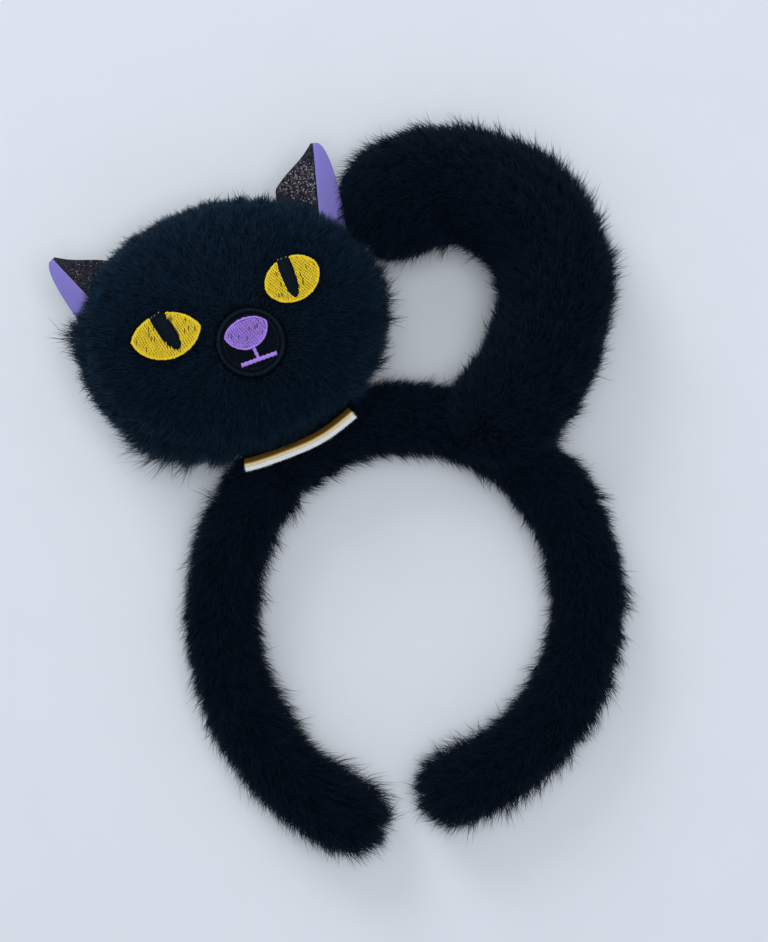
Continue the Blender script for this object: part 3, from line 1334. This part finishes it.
def make_collar():
    """The collar strip: a gold face on a cream core, backed with white felt."""
    colour = bpy.context.scene.headband_trim.gold_colour
    gold = grained("gold_leatherette", [c * 0.7 for c in colour], colour, 500, 0.42, 0.15 * MM,
                   metallic=0.25)
    cream = grained("cream_core", (0.62, 0.5, 0.25), (0.86, 0.74, 0.45), 1500, 0.8, 0.15 * MM)
    white = grained("white_felt", (0.62, 0.58, 0.52), (0.88, 0.84, 0.77), 1200, 0.95, 0.35 * MM,
                    sheen=0.4)
    face = collar_strip("collar_gold", 0, 0.45 * MM, 0, COLLAR_TALL, gold)
    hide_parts("collar_face")
    collar_strip("collar_core", 0.45 * MM, 1.25 * MM, 0, COLLAR_TALL + 0.15 * MM, cream)
    felt = collar_strip("collar_felt", 1.72 * MM, 1.8 * MM, 0, COLLAR_TALL, white)
    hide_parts("collar_backing")
    fuzz = fur_material("white_fuzz", (0.55, 0.52, 0.47), (0.85, 0.81, 0.74), 0.2, 0.7)
    points, normals = surface_points(felt, 5200, np.random.default_rng(91))
    outside = np.hypot(points[:, 0] - COLLAR_CENTRE.x, points[:, 1] - COLLAR_CENTRE.y)
    kept = (outside > COLLAR_R + 2.4 * MM) | (points[:, 2] < COLLAR_Z + 7 * MM)
    points, normals = points[kept], normals[kept]
    ways = np.random.default_rng(92).normal(size=points.shape)
    grow_undercoat("collar_fuzz", points, normals, ways, np.full(len(points), 1.1 * MM), 0.7, 93,
                   0.12 * MM, fuzz, "white_felt", "crown")


def dress_hidden():
    """Materials for the hidden pieces, which keep their own shapes."""
    strip = grained("core_plastic", (0.08, 0.08, 0.085), (0.11, 0.11, 0.115), 200, 0.4, 0.02 * MM)
    cap = grained("cap_plastic", (0.02, 0.02, 0.022), (0.035, 0.035, 0.038), 260, 0.35, 0.02 * MM)
    foam = grained("padding_foam", (0.5, 0.5, 0.48), (0.72, 0.72, 0.7), 600, 0.9, 0.3 * MM)
    fill = grained("polyester_fill", (0.62, 0.62, 0.6), (0.9, 0.9, 0.88), 350, 0.95, 0.8 * MM,
                   sheen=0.3)
    wire = grained("shaping_wire", (0.3, 0.3, 0.31), (0.5, 0.5, 0.52), 900, 0.3, 0.01 * MM,
                   metallic=1.0, stretch=(1, 1, 0.1))
    looks = {"core_strip": strip, "tip_cap": cap, "padding": foam, "stuffing": fill, "wire": wire}
    for name in frame["nodes"]:
        for ending, material in looks.items():
            if name.endswith(ending):
                node = bpy.data.objects[name]
                node.data.materials.clear()
                node.data.materials.append(material)


def make_stage():
    """A plain pale floor, soft light from the far side, and the camera straight above."""
    studio = bpy.context.scene.headband_studio
    bpy.context.scene.view_settings.view_transform = "Standard"
    bm = bmesh.new()
    bmesh.ops.create_grid(bm, x_segments=1, y_segments=1, size=1.5)
    mesh = bpy.data.meshes.new("floor")
    bm.to_mesh(mesh)
    bm.free()
    floor = bpy.data.objects.new("floor", mesh)
    bpy.context.scene.collection.objects.link(floor)
    colour = studio.floor_colour
    mesh.materials.append(grained("floor_paper", [c * 0.985 for c in colour], colour, 30, 0.75,
                                  0.02 * MM))

    world = bpy.data.worlds.new("studio_sky")
    world.use_nodes = True
    sky = world.node_tree.nodes["Background"]
    sky.inputs["Color"].default_value = (*SKY_COLOUR, 1)
    sky.inputs["Strength"].default_value = studio.sky
    bpy.context.scene.world = world

    for name, place, size, share in LIGHTS:
        data = bpy.data.lights.new(name, "AREA")
        data.energy = studio.key_power * share
        data.size = size
        data.color = LIGHT_COLOUR
        light = bpy.data.objects.new(name, data)
        light.location = place
        aim = Vector((0, 0.05, 0)) - Vector(place)
        light.rotation_euler = aim.to_track_quat("-Z", "Y").to_euler()
        bpy.context.scene.collection.objects.link(light)

    data = bpy.data.cameras.new("camera")
    data.lens = studio.lens
    data.sensor_width = 36
    camera = bpy.data.objects.new("camera", data)
    distance = studio.view_height / 2 / (data.sensor_width / 2 / data.lens)
    camera.location = (*VIEW_CENTRE, distance + VIEW_LEVEL)
    bpy.context.scene.collection.objects.link(camera)
    bpy.context.scene.camera = camera


# ---- Operators and panel ----------------------------------------------------


class HEADBAND_OT_stage(bpy.types.Operator):
    """Lay out the floor, light and camera"""

    bl_idname = "headband.stage"
    bl_label = "Stage"

    def execute(self, context):
        make_stage()
        return {"FINISHED"}


class HEADBAND_OT_hidden(bpy.types.Operator):
    """Give the strip, padding, stuffing and wire their materials"""

    bl_idname = "headband.hidden"
    bl_label = "Hidden pieces"

    def execute(self, context):
        dress_hidden()
        return {"FINISHED"}


class HEADBAND_OT_band(bpy.types.Operator):
    """Make the crown and both arms with their fur"""

    bl_idname = "headband.band"
    bl_label = "Band"

    def execute(self, context):
        make_crown()
        make_arm("left", -1, LEFT_ARM_R, LEFT_END, 11)
        make_arm("right", 1, RIGHT_ARM_R, RIGHT_END, 21)
        return {"FINISHED"}


class HEADBAND_OT_tail(bpy.types.Operator):
    """Make the tail's root and hook with their fur"""

    bl_idname = "headband.tail"
    bl_label = "Tail"

    def execute(self, context):
        make_tail()
        return {"FINISHED"}


class HEADBAND_OT_head(bpy.types.Operator):
    """Make the stuffed head and its fur"""

    bl_idname = "headband.head"
    bl_label = "Head"

    def execute(self, context):
        make_head()
        return {"FINISHED"}


class HEADBAND_OT_face(bpy.types.Operator):
    """Sew the eyes, the muzzle, the nose and the mouth"""

    bl_idname = "headband.face"
    bl_label = "Face"

    def execute(self, context):
        for name in EYES:
            make_eye(name)
        make_muzzle()
        return {"FINISHED"}


class HEADBAND_OT_ears(bpy.types.Operator):
    """Fold the ears and scatter their glitter"""

    bl_idname = "headband.ears"
    bl_label = "Ears"

    def execute(self, context):
        make_ear("left", -1, 0.15, 901)
        make_ear("right", 1, 0.8, 902)
        return {"FINISHED"}


class HEADBAND_OT_collar(bpy.types.Operator):
    """Bend the collar strip into its furrow"""

    bl_idname = "headband.collar"
    bl_label = "Collar"

    def execute(self, context):
        make_collar()
        return {"FINISHED"}


STEPS = ("stage", "hidden", "band", "tail", "head", "face", "ears", "collar")


class HEADBAND_PT_panel(bpy.types.Panel):
    """Lists the headband's steps and settings"""

    bl_idname = "HEADBAND_PT_panel"
    bl_label = "Cat headband"
    bl_space_type = "VIEW_3D"
    bl_region_type = "UI"
    bl_category = "Headband"

    def draw(self, context):
        for step in STEPS:
            self.layout.operator(f"headband.{step}")
        for name in ("headband_fur", "headband_face", "headband_trim", "headband_studio"):
            settings = getattr(context.scene, name)
            box = self.layout.box()
            for prop in settings.bl_rna.properties:
                if prop.identifier not in ("rna_type", "name"):
                    box.prop(settings, prop.identifier)


SETTINGS = {
    "headband_fur": FurSettings,
    "headband_face": FaceSettings,
    "headband_trim": TrimSettings,
    "headband_studio": StudioSettings,
}
CLASSES = (
    *SETTINGS.values(),
    HEADBAND_OT_stage,
    HEADBAND_OT_hidden,
    HEADBAND_OT_band,
    HEADBAND_OT_tail,
    HEADBAND_OT_head,
    HEADBAND_OT_face,
    HEADBAND_OT_ears,
    HEADBAND_OT_collar,
    HEADBAND_PT_panel,
)


def register():
    for cls in CLASSES:
        bpy.utils.register_class(cls)
    for name, cls in SETTINGS.items():
        setattr(bpy.types.Scene, name, bpy.props.PointerProperty(type=cls))


def unregister():
    for name in SETTINGS:
        delattr(bpy.types.Scene, name)
    for cls in reversed(CLASSES):
        bpy.utils.unregister_class(cls)


def main():
    register()
    for step in STEPS:
        getattr(bpy.ops.headband, step)()


if __name__ == "__main__":
    main()
